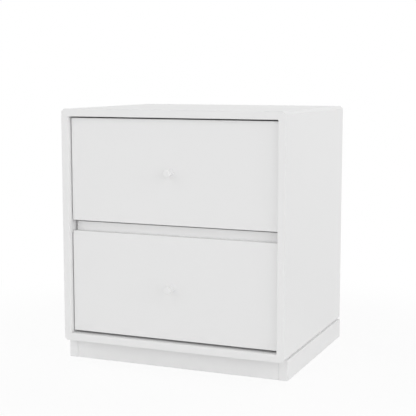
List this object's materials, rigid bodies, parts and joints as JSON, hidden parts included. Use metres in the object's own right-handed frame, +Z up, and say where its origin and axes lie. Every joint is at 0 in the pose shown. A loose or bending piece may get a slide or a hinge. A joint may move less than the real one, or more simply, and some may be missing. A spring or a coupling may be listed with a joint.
{
  "type": "nightstand",
  "caption": "Square white lacquered nightstand: stacked drawers inset in a mitred, bevelled case on a set-back plinth, with small round knobs and ball runners.",
  "frame": {"origin": "on the floor, in the middle of the footprint that includes the knobs", "axes": "+Z up, the drawers open towards -Y, +X to the right as seen from the front"},
  "size_m": [0.4698, 0.402, 0.508],
  "materials": {
    "white_lacquer": "satin white lacquer on board",
    "white_foil": "matt white foil on board",
    "bare_beech": "planed, bare",
    "zinc_steel": "bright zinc plate",
    "runner_steel": "rolled and zinc plated",
    "cage_steel": "pressed sheet with polished balls"
  },
  "bodies": {
    "cabinet": {"top_panel": "white_lacquer", "bottom_panel": "white_lacquer", "left_panel": "white_lacquer", "right_panel": "white_lacquer", "mitre_splines": "bare_beech", "back_panel": "white_foil", "back_screws": "zinc_steel", "divider_board": "white_lacquer", "divider_pins": "zinc_steel", "plinth_front": "white_lacquer", "plinth_back": "white_lacquer", "plinth_left": "white_lacquer", "plinth_right": "white_lacquer", "plinth_blocks": "bare_beech", "plinth_screws": "zinc_steel", "upper_left_cabinet_rail": "runner_steel", "upper_right_cabinet_rail": "runner_steel", "lower_left_cabinet_rail": "runner_steel", "lower_right_cabinet_rail": "runner_steel", "cabinet_rail_screws": "zinc_steel"},
    "upper_drawer": {"upper_drawer_front": "white_lacquer", "upper_box_front": "white_foil", "upper_box_back": "white_foil", "upper_left_side": "white_foil", "upper_right_side": "white_foil", "upper_drawer_bottom": "white_foil", "upper_box_dowels": "bare_beech", "upper_front_screws": "zinc_steel", "upper_knob": "white_lacquer", "upper_knob_screw": "zinc_steel", "upper_left_drawer_rail": "runner_steel", "upper_right_drawer_rail": "runner_steel", "upper_drawer_rail_screws": "zinc_steel"},
    "lower_drawer": {"lower_drawer_front": "white_lacquer", "lower_box_front": "white_foil", "lower_box_back": "white_foil", "lower_left_side": "white_foil", "lower_right_side": "white_foil", "lower_drawer_bottom": "white_foil", "lower_box_dowels": "bare_beech", "lower_front_screws": "zinc_steel", "lower_knob": "white_lacquer", "lower_knob_screw": "zinc_steel", "lower_left_drawer_rail": "runner_steel", "lower_right_drawer_rail": "runner_steel", "lower_drawer_rail_screws": "zinc_steel"},
    "upper_middle_rails": {"upper_left_middle_rail": "runner_steel", "upper_right_middle_rail": "runner_steel"},
    "lower_middle_rails": {"lower_left_middle_rail": "runner_steel", "lower_right_middle_rail": "runner_steel"},
    "upper_outer_cages": {"upper_outer_ball_cages": "cage_steel"},
    "upper_inner_cages": {"upper_inner_ball_cages": "cage_steel"},
    "lower_outer_cages": {"lower_outer_ball_cages": "cage_steel"},
    "lower_inner_cages": {"lower_inner_ball_cages": "cage_steel"}
  },
  "joints": [
    {"name": "upper_drawer_slide", "type": "slide", "parent": "cabinet", "child": "upper_drawer", "axis": [0, -1, 0], "range_m": [0, 0.3]},
    {"name": "upper_middle_rail_slide", "type": "slide", "parent": "cabinet", "child": "upper_middle_rails", "axis": [0, -1, 0], "range_m": [0, 0.15]},
    {"name": "upper_outer_cage_slide", "type": "slide", "parent": "cabinet", "child": "upper_outer_cages", "axis": [0, -1, 0], "range_m": [0, 0.075]},
    {"name": "upper_inner_cage_slide", "type": "slide", "parent": "cabinet", "child": "upper_inner_cages", "axis": [0, -1, 0], "range_m": [0, 0.225]},
    {"name": "lower_drawer_slide", "type": "slide", "parent": "cabinet", "child": "lower_drawer", "axis": [0, -1, 0], "range_m": [0, 0.3]},
    {"name": "lower_middle_rail_slide", "type": "slide", "parent": "cabinet", "child": "lower_middle_rails", "axis": [0, -1, 0], "range_m": [0, 0.15]},
    {"name": "lower_outer_cage_slide", "type": "slide", "parent": "cabinet", "child": "lower_outer_cages", "axis": [0, -1, 0], "range_m": [0, 0.075]},
    {"name": "lower_inner_cage_slide", "type": "slide", "parent": "cabinet", "child": "lower_inner_cages", "axis": [0, -1, 0], "range_m": [0, 0.225]}
  ],
  "couplings": [
    {"joint": "upper_middle_rail_slide", "follows": "upper_drawer_slide", "ratio": 0.5},
    {"joint": "upper_outer_cage_slide", "follows": "upper_drawer_slide", "ratio": 0.25},
    {"joint": "upper_inner_cage_slide", "follows": "upper_drawer_slide", "ratio": 0.75},
    {"joint": "lower_middle_rail_slide", "follows": "lower_drawer_slide", "ratio": 0.5},
    {"joint": "lower_outer_cage_slide", "follows": "lower_drawer_slide", "ratio": 0.25},
    {"joint": "lower_inner_cage_slide", "follows": "lower_drawer_slide", "ratio": 0.75}
  ]
}
